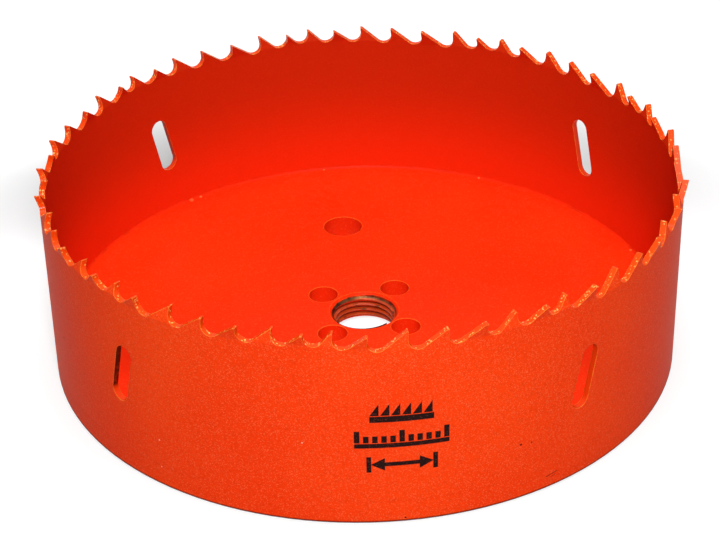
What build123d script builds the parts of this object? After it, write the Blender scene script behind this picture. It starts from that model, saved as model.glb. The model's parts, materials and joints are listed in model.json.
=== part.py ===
from build123d import *
import os
from math import asin, atan2, cos, degrees, hypot, radians, sin, sqrt

# Bi-metal hole saw, cup upright on its backing plate, teeth up.
#
# Frame: origin on the arbor axis at the underside of the backing plate, +Z towards the teeth, millimetres.
# Two pieces, as on the real saw: a toothed strip rolled and butt-welded into a band, and the thick round
# backing plate that is welded inside the foot of the band.

# ---- overall ----
cutting_diameter = 152.0   # across the tips of the outward-set teeth
saw_height = 48.0          # underside to tooth tips
wall = 1.4                 # thickness of the band strip

# ---- teeth ----
# One group of teeth, counter-clockwise seen from above: the pitch to the next tooth in degrees, and
# which way the tooth is set (1 outwards, -1 inwards, 0 straight). The group repeats round the band.
tooth_pitches_deg = (4.6, 5.5, 6.5, 6.4, 6.2, 5.6, 5.2)
tooth_sets = (1, -1, 1, -1, 0, 1, -1)
group_count = 9
first_tip_deg = 100.3      # leading edge of the first tooth of a group
tooth_set = 0.9            # how far a set tooth leans out or in at its tip
gullet_depth_share = 0.46  # gullet depth as a share of the pitch ahead of the tooth
gullet_radius = 2.1
rake_deg = 5.0
tip_land = 0.45
bend_above_gullet = 0.2    # a set tooth leans from this far above the bottom of its shallower gullet

# ---- slug slots in the wall ----
# Centres round the band. The slots are punched before the strip is rolled, and aren't quite evenly spaced.
slot_angles_deg = (38.7, 134.3, 225.2, 308.9)
slot_length = 15.4
slot_width = 4.8
slot_lean_deg = 13.5       # from upright, top towards the cutting direction
slot_centre_height = 25.7

# ---- backing plate ----
plate_thickness = 6.7
plate_clearance = 0.02     # radial, between the plate and the inside of the band
thread_major_diameter = 15.875   # 5/8 in arbor thread
thread_chamfer = 0.6       # upper rim of the thread
pin_hole_diameter = 7.2
pin_hole_web = 1.06        # metal left between the thread and a pin hole
pin_hole_count = 4
first_pin_hole_deg = 52.4
hang_hole_diameter = 10.0
hang_hole_radius = 41.5    # its centre from the axis
hang_hole_deg = 97.0

# ---- small edges ----
foot_chamfer = 0.5         # outer bottom edge of the band
plate_edge_chamfer = 0.4   # underside rim of the plate

# ---- derived ----
band_outer = cutting_diameter / 2 - tooth_set
band_inner = band_outer - wall
pin_hole_circle = thread_major_diameter + pin_hole_diameter + 2 * pin_hole_web
group_deg = 360 / group_count
cut_margin = 1.0           # how far cutting solids run past what they cut


def radial_plane(angle_deg):
    """Upright plane through the axis: x runs outwards at the angle, y is up."""
    a = radians(angle_deg)
    return Plane(origin=(0, 0, 0), x_dir=(cos(a), sin(a), 0), z_dir=(sin(a), -cos(a), 0))


def tangent_plane(angle_deg, radius):
    """Upright plane square to the radius: x runs counter-clockwise, y is up, z points outwards."""
    a = radians(angle_deg)
    outwards = (cos(a), sin(a), 0)
    return Plane(origin=(radius * cos(a), radius * sin(a), 0), x_dir=(-sin(a), cos(a), 0), z_dir=outwards)


def arc_deg(length):
    """Angle that a length takes up round the outside of the band."""
    return degrees(length / band_outer)


def arc_length(angle_deg):
    return radians(angle_deg) * band_outer


class Gullet:
    """The round-bottomed space between a tooth and the next one counter-clockwise.

    Local x is the distance from the leading edge of the tooth, y the height above its tip.
    """

    def __init__(self, pitch_deg):
        rake = radians(rake_deg)
        self.pitch = arc_length(pitch_deg)
        self.depth = gullet_depth_share * self.pitch
        self.centre_y = gullet_radius - self.depth
        self.centre_x = (gullet_radius + self.centre_y * sin(rake)) / cos(rake)
        # where the rake face runs into the round bottom
        self.rake_end = (
            self.centre_x - gullet_radius * cos(rake),
            self.centre_y + gullet_radius * sin(rake),
        )
        self.bottom = (self.centre_x, self.centre_y - gullet_radius)
        # the back of the next tooth, from its land down to the round bottom
        self.land_start = (self.pitch - tip_land, 0)
        to_centre_x = self.centre_x - self.land_start[0]
        reach = hypot(to_centre_x, self.centre_y)
        slope = atan2(self.centre_y, to_centre_x) + asin(gullet_radius / reach)
        back_length = sqrt(reach**2 - gullet_radius**2)
        self.back_end = (
            self.land_start[0] + back_length * cos(slope),
            self.land_start[1] + back_length * sin(slope),
        )

    def cutter(self, tip_deg):
        """Solid that removes this gullet, for a tooth whose leading edge is at tip_deg."""
        centre_deg = tip_deg + arc_deg(self.centre_x)
        inner_reach = band_inner - tooth_set - cut_margin
        depth = wall + 2 * (tooth_set + cut_margin)

        def at(point):
            return (point[0] - self.centre_x, point[1] + saw_height)

        with BuildPart() as void:
            with BuildSketch(tangent_plane(centre_deg, inner_reach)):
                with BuildLine():
                    Polyline(at((0, cut_margin)), at((0, 0)), at(self.rake_end))
                    ThreePointArc(at(self.rake_end), at(self.bottom), at(self.back_end))
                    Polyline(
                        at(self.back_end),
                        at(self.land_start),
                        at((self.land_start[0], cut_margin)),
                        at((0, cut_margin)),
                    )
                make_face()
            extrude(amount=depth)
        return void.part


def band_sector(start_deg, sweep_deg, bend_height, lean):
    """Full-height sector of the band under one tooth, leaning out (lean > 0) or in above its bend line."""
    with BuildPart() as sector:
        with BuildSketch(radial_plane(start_deg)):
            with BuildLine():
                Polyline(
                    (band_outer, 0),
                    (band_outer, bend_height),
                    (band_outer + lean, saw_height),
                    (band_inner + lean, saw_height),
                    (band_inner, bend_height),
                    (band_inner, 0),
                    close=True,
                )
            make_face()
        revolve(axis=Axis.Z, revolution_arc=sweep_deg)
    return sector.part


# ---- one group of teeth, with the strip below it ----
gullets = [Gullet(pitch) for pitch in tooth_pitches_deg]
tip_angles = [first_tip_deg + sum(tooth_pitches_deg[:i]) for i in range(len(gullets))]
valley_angles = [tip + arc_deg(gullet.centre_x) for tip, gullet in zip(tip_angles, gullets)]

with BuildPart() as tooth_group:
    for i, direction in enumerate(tooth_sets):
        start = valley_angles[i - 1] - (group_deg if i == 0 else 0)
        shallower = min(gullets[i - 1].depth, gullets[i].depth)
        bend = saw_height - shallower + bend_above_gullet
        add(band_sector(start, valley_angles[i] - start, bend, direction * tooth_set))
    add(gullets[-1].cutter(tip_angles[-1] - group_deg), mode=Mode.SUBTRACT)
    for tip, gullet in zip(tip_angles, gullets):
        add(gullet.cutter(tip), mode=Mode.SUBTRACT)

# ---- toothed band ----
with BuildPart() as toothed_band:
    with PolarLocations(0, group_count):
        add(tooth_group.part)
    foot_edges = toothed_band.edges().filter_by(GeomType.CIRCLE).group_by(Axis.Z)[0]
    chamfer(foot_edges.sort_by(SortBy.RADIUS)[-1], foot_chamfer)
    for slot_angle in slot_angles_deg:
        with BuildSketch(tangent_plane(slot_angle, band_inner - cut_margin)):
            with Locations((0, slot_centre_height)):
                SlotOverall(slot_length, slot_width, rotation=90 - slot_lean_deg)
        extrude(amount=wall + 2 * cut_margin, mode=Mode.SUBTRACT)

# ---- backing plate ----
with BuildPart() as backing_plate:
    with BuildSketch():
        Circle(band_inner - plate_clearance)
        Circle(thread_major_diameter / 2, mode=Mode.SUBTRACT)
    extrude(amount=plate_thickness)
    top_edges = backing_plate.edges().filter_by(GeomType.CIRCLE).group_by(Axis.Z)[-1]
    chamfer(top_edges.sort_by(SortBy.RADIUS)[0], thread_chamfer)
    foot_edges = backing_plate.edges().filter_by(GeomType.CIRCLE).group_by(Axis.Z)[0]
    chamfer(foot_edges.sort_by(SortBy.RADIUS)[-1], plate_edge_chamfer)
    with PolarLocations(pin_hole_circle / 2, pin_hole_count, start_angle=first_pin_hole_deg):
        Hole(pin_hole_diameter / 2)
    with PolarLocations(hang_hole_radius, 1, start_angle=hang_hole_deg):
        Hole(hang_hole_diameter / 2)

toothed_band.part.label = "toothed_band"
backing_plate.part.label = "backing_plate"

os.makedirs("parts", exist_ok=True)
export_step(toothed_band.part, "parts/toothed_band.step")
export_step(backing_plate.part, "parts/backing_plate.step")
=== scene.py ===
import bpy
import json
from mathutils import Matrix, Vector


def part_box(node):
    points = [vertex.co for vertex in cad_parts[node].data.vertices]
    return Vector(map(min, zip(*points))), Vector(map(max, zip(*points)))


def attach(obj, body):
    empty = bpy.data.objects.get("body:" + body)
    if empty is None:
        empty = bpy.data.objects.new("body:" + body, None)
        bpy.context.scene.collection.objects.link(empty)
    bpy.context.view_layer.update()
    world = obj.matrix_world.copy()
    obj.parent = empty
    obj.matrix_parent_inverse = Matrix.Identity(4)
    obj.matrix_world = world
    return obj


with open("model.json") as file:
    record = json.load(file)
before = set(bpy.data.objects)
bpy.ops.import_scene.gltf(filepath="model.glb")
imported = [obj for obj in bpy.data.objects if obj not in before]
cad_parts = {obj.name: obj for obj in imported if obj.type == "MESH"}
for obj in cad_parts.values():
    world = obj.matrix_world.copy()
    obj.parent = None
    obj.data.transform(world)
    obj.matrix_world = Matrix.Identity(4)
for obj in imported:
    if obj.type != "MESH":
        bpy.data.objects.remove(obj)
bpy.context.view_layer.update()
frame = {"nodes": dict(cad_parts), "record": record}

import json
import math
import random

import bmesh
import bpy
from mathutils import Matrix, Vector

# The looks of the hole saw: enamel on its two solids, the weld, thread and print that are too fine for
# them, and a white studio with the photograph's camera.
#
# Lengths are in metres. Angles round the saw are in degrees, counter-clockwise from +X seen from above, and
# the photographed side faces -Y.

MM = 0.001

# ---- sizes of the solids: from the frame, and three as the part's source has them ----
PLATE_CLEARANCE = 0.02 * MM
BAND_WALL = 1.4 * MM
THREAD_CHAMFER = 0.6 * MM
mounts = {mount["name"]: mount for mount in frame["record"]["mounts"]}
THREAD_RADIUS = mounts["arbor_thread"]["dims"]["r_mm"] * MM
plate_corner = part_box("backing_plate")[1]
PLATE_TOP = plate_corner.z
BAND_INNER = plate_corner.x + PLATE_CLEARANCE
BAND_OUTER = BAND_INNER + BAND_WALL


def srgb(red, green, blue):
    """Linear colour, with alpha, from 8-bit screen values."""
    def linear(value):
        share = value / 255
        return share / 12.92 if share <= 0.04045 else ((share + 0.055) / 1.055) ** 2.4
    return (linear(red), linear(green), linear(blue), 1.0)


def on_wall(angle, height, radius=BAND_OUTER):
    """Point at an angle round the saw and a height."""
    turn = math.radians(angle)
    return Vector((radius * math.cos(turn), radius * math.sin(turn), height))


# ======================================================================================
# Node trees
# ======================================================================================
BEVEL_SAMPLES = 6


class Nodes:
    """Short calls for the nodes used most, in one node tree. An input is a socket or a plain value."""

    def __init__(self, tree):
        self.tree = tree

    def add(self, kind):
        return self.tree.nodes.new(kind)

    def plug(self, value, socket):
        if isinstance(value, bpy.types.NodeSocket):
            self.tree.links.new(value, socket)
        elif value is not None:
            socket.default_value = value

    def math(self, operation, a, b=None, c=None):
        node = self.add("ShaderNodeMath")
        node.operation = operation
        for value, socket in zip((a, b, c), node.inputs):
            self.plug(value, socket)
        return node.outputs[0]

    def product(self, result, *factors):
        for factor in factors:
            result = self.math("MULTIPLY", result, factor)
        return result

    def rest_of(self, share):
        """0 where the share is 1, and 1 where it is 0."""
        return self.math("SUBTRACT", 1.0, share)

    def spread(self, share, low, high):
        """Maps 0..1 to low..high."""
        return self.math("MULTIPLY_ADD", share, high - low, low)

    def vector(self, operation, a, b=None, scale=None):
        node = self.add("ShaderNodeVectorMath")
        node.operation = operation
        self.plug(a, node.inputs[0])
        self.plug(b, node.inputs[1])
        if scale is not None:
            self.plug(scale, node.inputs["Scale"])
        return node.outputs["Value" if operation in ("LENGTH", "DISTANCE", "DOT_PRODUCT") else "Vector"]

    def split(self, vector):
        node = self.add("ShaderNodeSeparateXYZ")
        self.plug(vector, node.inputs[0])
        return node.outputs

    def join(self, x, y, z):
        node = self.add("ShaderNodeCombineXYZ")
        for value, socket in zip((x, y, z), node.inputs):
            self.plug(value, socket)
        return node.outputs[0]

    def ramp(self, value, low, high, at_low, at_high, shape="LINEAR"):
        """at_low where the value is low or less, at_high where it is high or more, and a ramp between."""
        node = self.add("ShaderNodeMapRange")
        node.interpolation_type = shape
        self.plug(value, node.inputs["Value"])
        node.inputs["From Min"].default_value = low
        node.inputs["From Max"].default_value = high
        node.inputs["To Min"].default_value = at_low
        node.inputs["To Max"].default_value = at_high
        return node.outputs["Result"]

    def step(self, value, off, on):
        """0 at off and beyond it, 1 at on and beyond it, and smooth between. Either may be the larger."""
        if off < on:
            return self.ramp(value, off, on, 0.0, 1.0, "SMOOTHSTEP")
        return self.ramp(value, on, off, 1.0, 0.0, "SMOOTHSTEP")

    def seen(self):
        """1 for camera, glossy and transmission rays, 0 for the rays that carry light between surfaces."""
        path = self.add("ShaderNodeLightPath")
        camera_or_gloss = self.math("MAXIMUM", path.outputs["Is Camera Ray"], path.outputs["Is Glossy Ray"])
        return self.math("MAXIMUM", camera_or_gloss, path.outputs["Is Transmission Ray"])


class Shader(Nodes):
    """One material: a Principled surface, whose colour is painted on in layers."""

    def __init__(self, name):
        self.material = bpy.data.materials.new(name)
        self.material.use_nodes = True
        super().__init__(self.material.node_tree)
        self.tree.nodes.clear()
        self.surface = self.add("ShaderNodeBsdfPrincipled")
        self.plug(self.surface.outputs["BSDF"], self.add("ShaderNodeOutputMaterial").inputs["Surface"])
        coordinates = self.add("ShaderNodeTexCoord")
        self.position = coordinates.outputs["Object"]
        self.normal = coordinates.outputs["Normal"]
        self.x, self.y, self.height = self.split(self.position)
        self.colour = None

    def set(self, **values):
        """Values or sockets for the Principled surface, with underscores for spaces."""
        for name, value in values.items():
            self.plug(value, self.surface.inputs[name.replace("_", " ")])

    def mix(self, share, a, b):
        node = self.add("ShaderNodeMix")
        node.data_type = "RGBA"
        # the colour sockets of a Mix node come after its number and vector ones
        self.plug(share, node.inputs[0])
        self.plug(a, node.inputs[6])
        self.plug(b, node.inputs[7])
        return node.outputs[2]

    def paint(self, mask, colour, strength=None):
        """Lays a colour over what is there, by the mask's share."""
        share = mask if strength is None else self.product(mask, strength)
        self.colour = self.mix(share, self.colour, colour)

    # ---- patterns ----
    def noise(self, per_metre, detail, roughness=0.5):
        """Cloudy noise, 0 to 1, with about that many swells a metre."""
        node = self.add("ShaderNodeTexNoise")
        self.plug(self.position, node.inputs["Vector"])
        node.inputs["Scale"].default_value = per_metre
        node.inputs["Detail"].default_value = detail
        node.inputs["Roughness"].default_value = roughness
        return node.outputs["Fac"]

    def patches(self, per_metre, detail, off, on):
        """Soft-edged patches where such noise passes from off to on."""
        return self.step(self.noise(per_metre, detail), off, on)

    def flecks(self, per_metre, off, on):
        """Scattered flecks: of about that many cells a metre, those whose random value passes off."""
        node = self.add("ShaderNodeTexVoronoi")
        self.plug(self.position, node.inputs["Vector"])
        node.inputs["Scale"].default_value = per_metre
        random_value = self.split(node.outputs["Color"])[0]
        return self.step(random_value, off, on)

    def spot(self, centre, size):
        """1 inside a ragged spot of that size round a point, 0 outside."""
        softness, raggedness, swells_a_size = 0.35, 0.5, 1.5
        swells = self.noise(swells_a_size / size, detail=3.0)
        shake = self.spread(swells, -raggedness * size, raggedness * size)
        distance = self.math("ADD", self.vector("DISTANCE", self.position, centre), shake)
        return self.step(distance, off=size * (1 + softness) / 2, on=size * (1 - softness) / 2)

    def streak(self, start, end, width):
        """1 along a thin straight scratch between two points, with ragged sides."""
        softness, raggedness = 0.5, 0.8
        along = end - start
        length = along.length
        along = along / length
        reach = self.vector("SUBTRACT", self.position, start)
        forward = self.vector("DOT_PRODUCT", reach, along)
        held = self.math("MINIMUM", self.math("MAXIMUM", forward, 0.0), length)
        nearest = self.vector("SCALE", tuple(along), scale=held)
        distance = self.vector("DISTANCE", reach, nearest)
        ragged = self.product(self.noise(2500.0, detail=2.0), width * raggedness)
        return self.step(self.math("ADD", distance, ragged), off=width, on=width * softness)

    # ---- where a point is, and which way its surface looks ----
    def radius(self):
        return self.vector("LENGTH", self.join(self.x, self.y, 0.0))

    def radial_facing(self):
        """1 on the outside wall, -1 on the inside wall, near 0 on cut faces."""
        outwards = self.vector("NORMALIZE", self.join(self.x, self.y, 0.0))
        return self.vector("DOT_PRODUCT", self.normal, outwards)

    def tangent_facing(self):
        """1 on faces that look counter-clockwise round the axis, -1 on those that look clockwise."""
        onwards = self.vector("NORMALIZE", self.join(self.product(self.y, -1.0), self.x, 0.0))
        return self.vector("DOT_PRODUCT", self.normal, onwards)

    # ---- relief ----
    def bump(self, height, depth, strength, normal=None):
        node = self.add("ShaderNodeBump")
        node.inputs["Strength"].default_value = strength
        node.inputs["Distance"].default_value = depth
        self.plug(height, node.inputs["Height"])
        self.plug(normal, node.inputs["Normal"])
        return node.outputs["Normal"]

    def rounded_normal(self, radius):
        """Normal of the surface with its sharp edges rounded."""
        node = self.add("ShaderNodeBevel")
        node.samples = BEVEL_SAMPLES
        node.inputs["Radius"].default_value = radius
        return node.outputs["Normal"]

    def sharp_edges(self, rounded):
        """1 along edges, where the rounded normal leans away from the true one, and 0 on open faces."""
        true_normal = self.add("ShaderNodeNewGeometry").outputs["Normal"]
        cosine_of_lean = self.vector("DOT_PRODUCT", rounded, true_normal)
        return self.step(cosine_of_lean, off=0.985, on=0.86)


# ======================================================================================
# Finish of the band
# ======================================================================================
BAND_ORANGE = srgb(253, 68, 15)
BAND_DEEP = srgb(246, 58, 11)
# inside wall: painted shade, darker near the rim and lighter near the plate
INSIDE_RIM_PAINTED_SHADE = srgb(196, 42, 10)
INSIDE_FOOT_PAINTED_SHADE = srgb(224, 46, 11)
PALE_FLECK_PAINTED_HIGHLIGHT = srgb(255, 132, 84)
FLECK_DARK = srgb(188, 34, 10)
CUT_ORANGE = srgb(246, 74, 12)
GULLET_PAINTED_GLINT = srgb(255, 210, 110)
SLOT_FACE_DARK = srgb(72, 20, 8)
EDGE_THIN_COAT_AND_HIGHLIGHT = srgb(255, 168, 62)
FOOT_PAINTED_SHADOW = srgb(84, 26, 13)
CHIP_DARK = srgb(58, 22, 16)
CHIP_PALE = srgb(255, 190, 160)

# specks on the outside wall: angle, height, size
DARK_SPECKS = (
    (296.0, 14.6 * MM, 0.5 * MM),
    (298.0, 14.3 * MM, 0.35 * MM),
    (276.0, 1.3 * MM, 0.4 * MM),
    (204.0, 20.5 * MM, 0.45 * MM),
)
PALE_SPECKS = (
    (233.0, 12.5 * MM, 0.35 * MM),
    (233.0, 5.3 * MM, 0.3 * MM),
    (259.5, 21.0 * MM, 0.3 * MM),
)
# scratches there: start and end, each an angle and a height, and width
SCRATCHES = (
    ((301.2, 3.4 * MM), (303.4, 3.9 * MM), 0.22 * MM),
    ((302.2, 2.9 * MM), (303.0, 3.1 * MM), 0.18 * MM),
)


def paint_flecks_and_highlights(s, wall, outside):
    """Pale flecks 0.2 mm across, which are painted highlights of the metal flake, and dark ones 0.4 mm
    across, fainter on the inside wall.
    """
    faint = 0.12
    strength = s.product(wall, s.spread(outside, faint, 1.0))
    s.paint(s.product(s.flecks(5600.0, off=0.76, on=0.98), strength), PALE_FLECK_PAINTED_HIGHLIGHT, strength=0.40)
    s.paint(s.product(s.flecks(2300.0, off=0.6, on=0.95), strength), FLECK_DARK, strength=0.13)


def paint_cut_faces(s, cut):
    """Smoother, yellower enamel on the faces of slots and gullets, with painted glints in the gullets."""
    everywhere, more_in_gullets = 0.4, 0.45
    gullet = s.product(cut, s.step(s.height, off=34.0 * MM, on=38.0 * MM))
    s.paint(s.math("ADD", s.product(cut, everywhere), s.product(gullet, more_in_gullets)), CUT_ORANGE)
    # bright flecks in the gullets: painted glints
    s.paint(s.product(gullet, s.flecks(2900.0, off=0.86, on=0.97)), GULLET_PAINTED_GLINT, strength=0.65)


def dark_slot_faces(s, cut):
    """One long face of each punched slot, the one that looks counter-clockwise, is painted dark, most of all
    on the -Y side.
    """
    above_slot_foot = s.step(s.height, off=19.6 * MM, on=21.4 * MM)
    below_slot_head = s.step(s.height, off=35.0 * MM, on=33.6 * MM)
    one_side = s.step(s.tangent_facing(), off=0.6, on=0.85)
    ragged = s.spread(s.patches(900.0, detail=4.0, off=0.7, on=0.5), 0.72, 0.96)
    near_side = s.spread(s.step(s.y, off=20.0 * MM, on=-20.0 * MM), 0.45, 1.0)
    return s.product(cut, above_slot_foot, below_slot_head, one_side, ragged, near_side)


def paint_chips(s):
    """Small chips and scratches on the outside wall."""
    for colour, specks in ((CHIP_DARK, DARK_SPECKS), (CHIP_PALE, PALE_SPECKS)):
        for angle, height, size in specks:
            s.paint(s.spot(on_wall(angle, height), size), colour)
    for start, end, width in SCRATCHES:
        s.paint(s.streak(on_wall(*start), on_wall(*end), width), CHIP_DARK, strength=0.8)


def enamel_band():
    """Sprayed gloss orange, with a fine sparkle of painted highlights on the walls, and smoother in the
    gullets and slots.
    """
    s = Shader("enamel_band")
    # the two walls look straight out or in, and the faces cut for gullets and slots don't
    facing = s.radial_facing()
    wall = s.step(s.math("ABSOLUTE", facing), off=0.72, on=0.9)
    outside = s.product(wall, s.step(facing, off=-0.2, on=0.2))
    cut = s.rest_of(wall)
    broad = s.noise(28.0, detail=3.0)

    # inside, painted shade: the inside wall is darker than the outside, darkest towards the rim and lighter
    # near the plate
    outer_coat = s.mix(s.step(broad, off=0.25, on=0.75), BAND_DEEP, BAND_ORANGE)
    inner_coat_painted_shade = s.mix(s.step(s.height, off=36.0 * MM, on=8.0 * MM), INSIDE_RIM_PAINTED_SHADE, INSIDE_FOOT_PAINTED_SHADE)
    s.colour = s.mix(outside, inner_coat_painted_shade, outer_coat)
    paint_flecks_and_highlights(s, wall, outside)
    paint_cut_faces(s, cut)
    dark_slot_face = dark_slot_faces(s, cut)
    s.paint(dark_slot_face, SLOT_FACE_DARK)

    # enamel is drawn thin over the sharp edges of the teeth and slots, and they are painted paler there,
    # partly as thin enamel and partly as a painted highlight
    thin = s.product(s.sharp_edges(s.rounded_normal(0.22 * MM)), s.rest_of(dark_slot_face))
    uneven = s.spread(s.patches(700.0, detail=3.0, off=0.35, on=0.6), 0.3, 0.95)
    s.paint(s.product(thin, uneven), EDGE_THIN_COAT_AND_HIGHLIGHT)
    paint_chips(s)

    # faint groove just below the plate's top, outside the weld, painted a little darker along it: painted
    # shade
    groove_height, groove_side, groove_bed = PLATE_TOP - 1.0 * MM, 0.45 * MM, 0.1 * MM
    from_groove = s.math("ABSOLUTE", s.math("SUBTRACT", s.height, groove_height))
    groove = s.product(s.step(from_groove, off=groove_side, on=groove_bed), outside)
    s.paint(groove, BAND_DEEP, strength=0.22)
    # the bottom edge, painted dark: a painted contact shadow
    foot = s.product(s.step(s.height, off=1.0 * MM, on=0.6 * MM), s.step(facing, off=0.1, on=0.4))
    s.paint(foot, FOOT_PAINTED_SHADOW, strength=0.92)

    # the groove, orange peel and flakes, over edges that thick enamel rounds
    peel = s.noise(1100.0, detail=2.0, roughness=0.6)
    flakes = s.noise(5200.0, detail=1.0)
    normal = s.bump(groove, depth=-0.05 * MM, strength=0.5, normal=s.rounded_normal(0.42 * MM))
    normal = s.bump(peel, depth=0.03 * MM, strength=0.55, normal=normal)
    normal = s.bump(flakes, depth=0.012 * MM, strength=0.5, normal=normal)
    roughness = s.math("ADD", s.spread(wall, 0.14, 0.46), s.spread(broad, -0.04, 0.06))
    s.set(Base_Color=s.colour, Roughness=roughness, Normal=normal, Specular_IOR_Level=0.02,
          Coat_Weight=s.spread(wall, 0.12, 0.0), Coat_Roughness=0.16)
    return s.material


# ======================================================================================
# Finish of the plate, thread, weld and print
# ======================================================================================
PLATE_RED = srgb(252, 50, 8)
PLATE_DEEP = srgb(248, 44, 6)
STEEL = srgb(106, 68, 38)
STEEL_DARK = srgb(46, 25, 15)
OVERSPRAY_DEEP = srgb(176, 46, 12)
OVERSPRAY_LIGHT = srgb(216, 78, 24)
ROOT_PAINTED_SHADE = srgb(104, 26, 9)
WELD_DEEP = srgb(214, 40, 8)
WELD_LIGHT = srgb(240, 46, 9)
BEAD_HIGHLIGHT_DEEP = srgb(255, 84, 34)
BEAD_HIGHLIGHT_PALE = srgb(255, 120, 64)
INK_BLACK = srgb(30, 13, 11)
INK_THIN = srgb(120, 40, 24)
INK_PAINTED_HIGHLIGHT = srgb(150, 70, 50)


def thread_mouth(s):
    """1 near the plate's top, where the thread opens, 0 deeper down."""
    return s.step(s.height, off=PLATE_TOP - 1.6 * MM, on=PLATE_TOP - 1.1 * MM)


def tarnished_steel(s, per_metre):
    """Colour of bare steel that has darkened in patches."""
    return s.mix(s.patches(per_metre, detail=3.0, off=0.35, on=0.65), STEEL_DARK, STEEL)


def turning_marks(s):
    """Fine rings round the axis, left by the lathe."""
    node = s.add("ShaderNodeTexWave")
    node.wave_type = "RINGS"
    node.rings_direction = "Z"
    node.inputs["Scale"].default_value = 260.0
    node.inputs["Distortion"].default_value = 1.2
    s.plug(s.position, node.inputs["Vector"])
    return node.outputs["Fac"]


def enamel_plate():
    """Gloss enamel over a turned plate, worn to bare metal on the thread's upper rim."""
    s = Shader("enamel_plate")
    broad = s.noise(22.0, detail=3.0)
    s.colour = s.mix(s.step(broad, off=0.3, on=0.7), PLATE_DEEP, PLATE_RED)
    # pale flecks: painted highlights of the metal flake
    s.paint(s.flecks(3600.0, off=0.8, on=0.98), PALE_FLECK_PAINTED_HIGHLIGHT, strength=0.12)
    rounded = s.rounded_normal(0.3 * MM)
    # sharp edges painted paler: thin enamel and a painted highlight
    s.paint(s.sharp_edges(rounded), EDGE_THIN_COAT_AND_HIGHLIGHT, strength=0.5)

    # bare rim of the arbor thread, with a ragged edge
    rim, soft, ragged = THREAD_RADIUS - 0.02 * MM, 0.15 * MM, 0.3 * MM
    shake = s.spread(s.noise(420.0, detail=4.0), -ragged, ragged)
    near_axis = s.step(s.math("ADD", s.radius(), shake), off=rim + soft, on=rim - soft)
    bare = s.product(near_axis, thread_mouth(s))
    s.paint(bare, tarnished_steel(s, 380.0))

    peel = s.noise(900.0, detail=2.0, roughness=0.6)
    normal = s.bump(turning_marks(s), depth=0.01 * MM, strength=0.35, normal=rounded)
    normal = s.bump(peel, depth=0.03 * MM, strength=0.5, normal=normal)
    roughness = s.math("ADD", s.spread(bare, 0.4, 0.28), s.spread(broad, -0.05, 0.06))
    s.set(Base_Color=s.colour, Roughness=roughness, Metallic=bare, Normal=normal, Specular_IOR_Level=0.04,
          Coat_Weight=0.02, Coat_Roughness=0.3)
    return s.material


def thread_steel():
    """Cut thread with thin overspray, painted shade in the roots, and bare on the worn crests and at the
    mouth.
    """
    s = Shader("thread_steel")
    radius = s.radius()
    crest = s.step(radius, off=THREAD_RADIUS - 0.35 * MM, on=THREAD_RADIUS - 0.7 * MM)
    root = s.step(radius, off=THREAD_RADIUS - 0.45 * MM, on=THREAD_RADIUS - 0.1 * MM)
    worn = s.product(crest, s.patches(500.0, detail=4.0, off=0.5, on=0.7))
    worn = s.math("MAXIMUM", worn, thread_mouth(s))
    s.colour = s.mix(s.noise(900.0, detail=3.0), OVERSPRAY_DEEP, OVERSPRAY_LIGHT)
    # the roots are painted dark: painted shade
    s.paint(root, ROOT_PAINTED_SHADE)
    s.paint(worn, tarnished_steel(s, 420.0))
    s.set(Base_Color=s.colour, Metallic=s.product(worn, 0.85),
          Roughness=s.spread(s.noise(1300.0, detail=3.0), 0.22, 0.42), Specular_IOR_Level=0.2,
          Normal=s.bump(s.noise(2600.0, detail=3.0), depth=0.02 * MM, strength=0.4))
    return s.material


def weld_enamel(name, deep, light):
    """Enamel on the weld: pooled deep along its fillet, and lighter over its beads, which is a painted
    highlight.
    """
    s = Shader(name)
    broad = s.noise(160.0, detail=3.0)
    s.set(Base_Color=s.mix(s.step(broad, off=0.3, on=0.7), deep, light),
          Roughness=s.spread(broad, 0.4, 0.52), Coat_Weight=0.02, Coat_Roughness=0.3,
          Specular_IOR_Level=0.04,
          Normal=s.bump(s.noise(1100.0, detail=2.0), depth=0.05 * MM, strength=0.5))
    return s.material


def print_ink():
    """Black pad print, a little thin in places, with pale flecks that are painted highlights of the sparkle
    under it.
    """
    s = Shader("print_ink")
    s.colour = INK_BLACK
    s.paint(s.patches(900.0, detail=4.0, off=0.6, on=0.8), INK_THIN, strength=0.5)
    s.paint(s.flecks(4200.0, off=0.85, on=0.98), INK_PAINTED_HIGHLIGHT, strength=0.25)
    s.set(Base_Color=s.colour, Roughness=s.spread(s.noise(1600.0, detail=2.0), 0.42, 0.6),
          Specular_IOR_Level=0.05,
          Normal=s.bump(s.noise(1400.0, detail=2.0), depth=0.02 * MM, strength=0.4))
    return s.material


def dress(node, material):
    """Gives a CAD node its finish."""
    for slot in frame["nodes"][node].material_slots:
        slot.material = material


# ======================================================================================
# Pieces that the scene adds
# ======================================================================================
def add_piece(name, bm, material, smooth):
    """Makes the bmesh a piece of the saw, on the saw's one body."""
    mesh = bpy.data.meshes.new(name)
    bm.to_mesh(mesh)
    bm.free()
    for polygon in mesh.polygons:
        polygon.use_smooth = smooth
    mesh.materials.append(material)
    piece = bpy.data.objects.new(name, mesh)
    bpy.context.scene.collection.objects.link(piece)
    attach(piece, "root")


def skin(profiles, closed_ring):
    """Skin through a row of closed profiles: a closed ring of them, or a run whose ends are capped."""
    bm = bmesh.new()
    rows = [[bm.verts.new(point) for point in profile] for profile in profiles]
    count = len(rows)
    for i in range(count if closed_ring else count - 1):
        here, there = rows[i], rows[(i + 1) % count]
        for k in range(len(here)):
            n = (k + 1) % len(here)
            bm.faces.new((here[k], here[n], there[n], there[k]))
    if not closed_ring:
        bm.faces.new(rows[0])
        bm.faces.new(list(reversed(rows[-1])))
    bmesh.ops.recalc_face_normals(bm, faces=bm.faces)
    return bm


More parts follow.
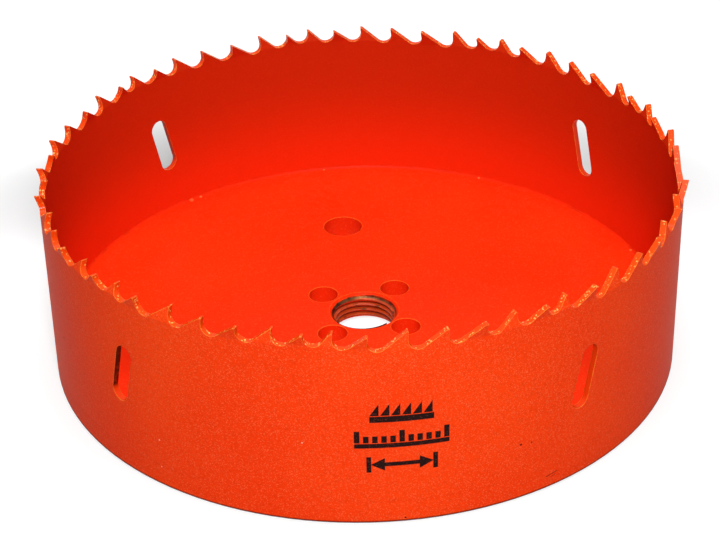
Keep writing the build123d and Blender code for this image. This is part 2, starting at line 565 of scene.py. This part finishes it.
def turned_profile(outline, angle, height=0.0):
    """Outline of (radius, height) points, placed at an angle round the axis that is given in radians."""
    return [(r * math.cos(angle), r * math.sin(angle), height + z) for r, z in outline]


# ---- ridges of the 5/8 in - 18 arbor thread ----
THREAD_PITCH = 25.4 / 18 * MM             # 18 turns an inch
THREAD_DEPTH = 0.61 * THREAD_PITCH
THREAD_ROOT_HALF = 0.44 * THREAD_PITCH    # half the height of a ridge at its root
THREAD_CREST_HALF = 0.07 * THREAD_PITCH   # and at its crest
THREAD_SUNK = 0.05 * MM                   # how far the ridge reaches into the plate
RUN_IN_TURNS = 0.25                       # over which the ridge grows from nothing at the underside
RUN_OUT = 0.8 * THREAD_PITCH              # height over which it fades below the upper chamfer
LEAST_RIDGE = 0.04                        # share of the depth that is left where it has faded


def arbor_thread(material):
    """One ridge wound up the arbor hole, which fades out at the upper chamfer and at the underside."""
    steps_a_turn = 96
    low, high = THREAD_ROOT_HALF, PLATE_TOP - THREAD_ROOT_HALF
    turns = (high - low) / THREAD_PITCH
    steps = int(turns * steps_a_turn)
    outer = THREAD_RADIUS + THREAD_SUNK
    profiles = []
    for i in range(steps + 1):
        turn = turns * i / steps
        height = low + turn * THREAD_PITCH
        below_chamfer = (PLATE_TOP - THREAD_CHAMFER - height) / RUN_OUT
        fade = min(1.0, turn / RUN_IN_TURNS, max(LEAST_RIDGE, below_chamfer))
        inner = THREAD_RADIUS - THREAD_DEPTH * fade
        outline = (
            (outer, -THREAD_ROOT_HALF),
            (inner, -THREAD_CREST_HALF),
            (inner, THREAD_CREST_HALF),
            (outer, THREAD_ROOT_HALF),
        )
        profiles.append(turned_profile(outline, 2 * math.pi * turn, height))
    add_piece("arbor_thread_ridges", skin(profiles, closed_ring=False), material, smooth=False)


# ---- weld between plate and band ----
WELD_LEG = 0.55 * MM
WELD_SUNK = 0.06 * MM      # how far the weld reaches into plate and band
WELD_WAVES = (3, 7, 13, 29, 61)     # waves round the ring that make it uneven
WELD_WAVE_SHARES = (0.02, 0.07)     # least and most that each adds to the leg
WELD_SEED = 7
# beads beside the weld: angle, distance in from the wall, size
WELD_BEADS = (
    (128.8, 0.8 * MM, 1.3 * MM),
    (126.4, 0.7 * MM, 0.8 * MM),
    (64.0, 0.6 * MM, 0.7 * MM),
    (98.0, 0.6 * MM, 0.6 * MM),
    (20.5, 0.7 * MM, 0.8 * MM),
    (171.0, 0.8 * MM, 0.7 * MM),
    (214.0, 0.6 * MM, 0.8 * MM),
    (262.0, 0.7 * MM, 0.6 * MM),
    (318.0, 0.6 * MM, 0.7 * MM),
)
BEAD_LIFT = 0.12           # height of a bead's centre over the plate, as a share of its size
BEAD_FLATNESS = 0.7        # a bead's height against its width


def foot_weld(material):
    """Low concave fillet of weld and enamel between the plate and the inside wall, uneven as a weld is."""
    steps, arc_points = 540, 5
    rng = random.Random(WELD_SEED)
    ripple = [(rng.uniform(0, 2 * math.pi), waves, rng.uniform(*WELD_WAVE_SHARES)) for waves in WELD_WAVES]
    wall, floor = BAND_INNER + WELD_SUNK, PLATE_TOP - WELD_SUNK
    profiles = []
    for i in range(steps):
        angle = 2 * math.pi * i / steps
        leg = WELD_LEG * (1 + sum(share * math.sin(waves * angle + phase) for phase, waves, share in ripple))
        outline = [(wall, floor), (wall, PLATE_TOP + leg)]
        for k in range(arc_points + 1):
            turn = math.pi / 2 * k / arc_points
            outline.append((BAND_INNER - leg + leg * math.cos(turn), PLATE_TOP + leg - leg * math.sin(turn)))
        outline.append((BAND_INNER - leg, floor))
        profiles.append(turned_profile(outline, angle))
    add_piece("foot_weld", skin(profiles, closed_ring=True), material, smooth=True)


def weld_beads(material):
    """A few flattened beads of weld left beside the fillet."""
    bm = bmesh.new()
    flatten = Matrix.Diagonal((1.0, 1.0, BEAD_FLATNESS, 1.0))
    for angle, inwards, size in WELD_BEADS:
        centre = on_wall(angle, PLATE_TOP + BEAD_LIFT * size, BAND_INNER - inwards)
        bmesh.ops.create_icosphere(bm, subdivisions=3, radius=size / 2,
                                   matrix=Matrix.Translation(centre) @ flatten)
    add_piece("weld_beads", bm, material, smooth=True)


# ---- generic print: a tooth row, a scale and a width arrow ----
# They keep the place, width and height of the print's three rows, with no letters or figures. Their outlines
# are lists of (along the wall, height) points in millimetres, from the print's centre line.
PRINT_CENTRE_ANGLE = 275.6
INK_THICKNESS = 0.03 * MM
INK_SUNK = 0.01 * MM       # how far the ink reaches into the wall


def wrapped_print(name, outlines, material):
    """Flat outlines cut into narrow strips, bent round the wall and given the ink's thickness."""
    strip_mm = 1.0
    bm = bmesh.new()
    for outline in outlines:
        bm.faces.new([bm.verts.new((along * MM, 0.0, height * MM)) for along, height in outline])
    strips_a_side = int(max(abs(along) for outline in outlines for along, _ in outline) / strip_mm)
    for i in range(-strips_a_side, strips_a_side + 1):
        everything = bm.verts[:] + bm.edges[:] + bm.faces[:]
        bmesh.ops.bisect_plane(bm, geom=everything, plane_co=(i * strip_mm * MM, 0, 0), plane_no=(1, 0, 0))
    grown = bmesh.ops.extrude_face_region(bm, geom=bm.faces[:])
    for vertex in (v for v in grown["geom"] if isinstance(v, bmesh.types.BMVert)):
        vertex.co.y = INK_THICKNESS
    for vertex in bm.verts:
        angle = PRINT_CENTRE_ANGLE + math.degrees(vertex.co.x / BAND_OUTER)
        vertex.co = on_wall(angle, vertex.co.z, BAND_OUTER - INK_SUNK + vertex.co.y)
    bmesh.ops.recalc_face_normals(bm, faces=bm.faces)
    add_piece(name, bm, material, smooth=False)


def bar(left, right, low, high):
    return [(left, low), (right, low), (right, high), (left, high)]


def print_tooth_row(material):
    """Saw teeth in a row over a bar."""
    low, high, half_width = 26.6, 31.2, 6.8
    bar_height, teeth_from, tooth_share = 1.5, 1.7, 0.86
    tooth_count = 6
    pitch = 2 * half_width / tooth_count
    row = [bar(-half_width, half_width, low, low + bar_height)]
    for i in range(tooth_count):
        left = -half_width + i * pitch
        right = left + tooth_share * pitch
        row.append([(left, low + teeth_from), (right, low + teeth_from), (right, high)])
    wrapped_print("print_tooth_row", row, material)


def print_scale(material):
    """A ruler's ticks over a bar, with every fifth one taller."""
    low, high, half_width = 20.1, 24.4, 10.1
    bar_height, ticks_from, short_by = 1.1, 1.3, 1.3
    tick_count, ticks_to_a_tall_one, tick_width = 11, 5, 1.15
    pitch = (2 * half_width - tick_width) / (tick_count - 1)
    row = []
    for i in range(tick_count):
        left = -half_width + i * pitch
        top = high if i % ticks_to_a_tall_one == 0 else high - short_by
        row.append(bar(left, left + tick_width, low + ticks_from, top))
    row.append(bar(-half_width, half_width, low, low + bar_height))
    wrapped_print("print_scale", row, material)


def print_width_arrow(material):
    """A double arrow between two upright strokes."""
    low, high, half_width = 13.8, 17.8, 7.6
    stroke, tip_inset, head_length, head_half = 1.0, 0.9, 3.0, 1.6
    middle = (low + high) / 2
    shaft_end = half_width - tip_inset - head_length
    row = [bar(-shaft_end, shaft_end, middle - stroke / 2, middle + stroke / 2)]
    for side in (-1, 1):
        tip = side * (half_width - tip_inset)
        neck = tip - side * head_length
        row.append([(tip, middle), (neck, middle - head_half), (neck, middle + head_half)])
        outer, inner = side * half_width, side * (half_width - stroke)
        row.append(bar(min(outer, inner), max(outer, inner), low, high))
    wrapped_print("print_width_arrow", row, material)


# ======================================================================================
# Stage, lamps, camera
# ======================================================================================
WHITE = (1.0, 1.0, 1.0, 1.0)
FLOOR_GREY = (0.45, 0.45, 0.45, 1.0)
FLOOR_SIZE = 6.0
FLOOR_DROP = 0.02 * MM     # keeps the floor clear of the underside
WORLD_LEVEL = 0.02         # light from the world; where it is seen, its level is 1

# The floor's emission lifts it towards white where it is seen: less near the object, so that its shadow
# stays, and more away from it. The two distances are from the axis.
LIFT_NEAR, LIFT_FAR = 0.60, 0.90
LIFT_FROM, LIFT_TO = 110 * MM, 220 * MM
# Close behind the object, where the front lamp's shadow falls, most of the lift is taken away again, which
# paints a darker shadow there.
SHADE_SHARE = 0.95
SHADE_STARTS, SHADE_FULL = 45 * MM, 85 * MM      # along +Y
SHADE_FADES, SHADE_ENDS = 100 * MM, 140 * MM     # distance from the axis
SHADE_HALF_WIDTH = 30 * MM                       # across the middle, where it weakens from left to right
SHADE_RIGHT = 0.6


def pale_floor():
    bpy.ops.mesh.primitive_plane_add(size=FLOOR_SIZE, location=(0, 0, -FLOOR_DROP))
    floor = bpy.context.object
    floor.name = "floor"
    s = Shader("pale_floor")
    distance = s.vector("LENGTH", s.position)
    lift = s.ramp(distance, LIFT_FROM, LIFT_TO, LIFT_NEAR, LIFT_FAR)
    painted_shadow = s.product(
        s.ramp(s.y, SHADE_STARTS, SHADE_FULL, 0.0, 1.0),
        s.ramp(distance, SHADE_FADES, SHADE_ENDS, 1.0, 0.0),
        s.ramp(s.x, -SHADE_HALF_WIDTH, SHADE_HALF_WIDTH, 1.0, SHADE_RIGHT),
    )
    lift = s.product(lift, s.spread(painted_shadow, 1.0, 1.0 - SHADE_SHARE))
    s.set(Base_Color=FLOOR_GREY, Roughness=0.9, Specular_IOR_Level=0.1,
          Emission_Color=WHITE, Emission_Strength=s.product(s.seen(), lift))
    floor.data.materials.append(s.material)


def soft_world():
    world = bpy.data.worlds.new("soft_world")
    bpy.context.scene.world = world
    world.use_nodes = True
    nodes = Nodes(world.node_tree)
    background = nodes.tree.nodes["Background"]
    background.inputs["Color"].default_value = WHITE
    nodes.plug(nodes.spread(nodes.seen(), WORLD_LEVEL, 1.0), background.inputs["Strength"])


def area_lamp(name, place, target, size, power, shows_in_gloss=True):
    """Round lamp that looks at a target. Its size is its diameter, and its power is in watts."""
    data = bpy.data.lights.new(name, "AREA")
    data.shape = "DISK"
    data.size = size
    data.energy = power
    lamp = bpy.data.objects.new(name, data)
    bpy.context.scene.collection.objects.link(lamp)
    lamp.location = place
    lamp.rotation_euler = (Vector(target) - Vector(place)).to_track_quat("-Z", "Y").to_euler()
    lamp.visible_glossy = shows_in_gloss


# Camera fitted to the photographed rim, foot, plate and teeth. Its angles are in radians, and its focal
# length is in pixels of the photograph.
CAMERA_PLACE = Vector((0.0, -0.41547, 0.27038))
CAMERA_YAW, CAMERA_PITCH, CAMERA_ROLL = -0.00185, 0.54426, -0.02373
FOCAL_PIXELS = 2011.1
PHOTO_WIDTH_PIXELS = 720
SENSOR_WIDTH = 36.0        # millimetres, as Blender gives it


def photo_camera():
    forward = Vector((
        math.sin(CAMERA_YAW) * math.cos(CAMERA_PITCH),
        math.cos(CAMERA_YAW) * math.cos(CAMERA_PITCH),
        -math.sin(CAMERA_PITCH),
    ))
    level = Vector((math.cos(CAMERA_YAW), -math.sin(CAMERA_YAW), 0))
    raised = level.cross(forward)
    right = math.cos(CAMERA_ROLL) * level + math.sin(CAMERA_ROLL) * raised
    up = -math.sin(CAMERA_ROLL) * level + math.cos(CAMERA_ROLL) * raised
    data = bpy.data.cameras.new("photo_camera")
    data.sensor_width = SENSOR_WIDTH
    data.lens = FOCAL_PIXELS / PHOTO_WIDTH_PIXELS * SENSOR_WIDTH
    data.clip_start, data.clip_end = 0.01, 20.0
    camera = bpy.data.objects.new("photo_camera", data)
    bpy.context.scene.collection.objects.link(camera)
    turn = Matrix((right, up, -forward)).transposed().to_4x4()
    camera.matrix_world = Matrix.Translation(CAMERA_PLACE) @ turn
    bpy.context.scene.camera = camera


# ======================================================================================
# Build
# ======================================================================================
photo_camera()
pale_floor()
soft_world()
area_lamp("key_front", place=(0.018, -0.46, 0.38), target=(0, 0, 0.02), size=0.10, power=2.5)
area_lamp("top_soft", place=(0.0, -0.05, 0.90), target=(0, 0, 0.0), size=0.55, power=5.2)
# the fill's mirror image would wash out the far wall
area_lamp("back_fill", place=(0.0, 0.85, 0.60), target=(0, 0, 0.02), size=0.7, power=1.8,
          shows_in_gloss=False)

dress("toothed_band", enamel_band())
dress("backing_plate", enamel_plate())

arbor_thread(thread_steel())
foot_weld(weld_enamel("weld_enamel", WELD_DEEP, WELD_LIGHT))
# the beads' lighter colours are painted highlights
weld_beads(weld_enamel("bead_enamel_highlit", BEAD_HIGHLIGHT_DEEP, BEAD_HIGHLIGHT_PALE))

ink = print_ink()
print_tooth_row(ink)
print_scale(ink)
print_width_arrow(ink)

bpy.context.scene.view_settings.view_transform = "Standard"
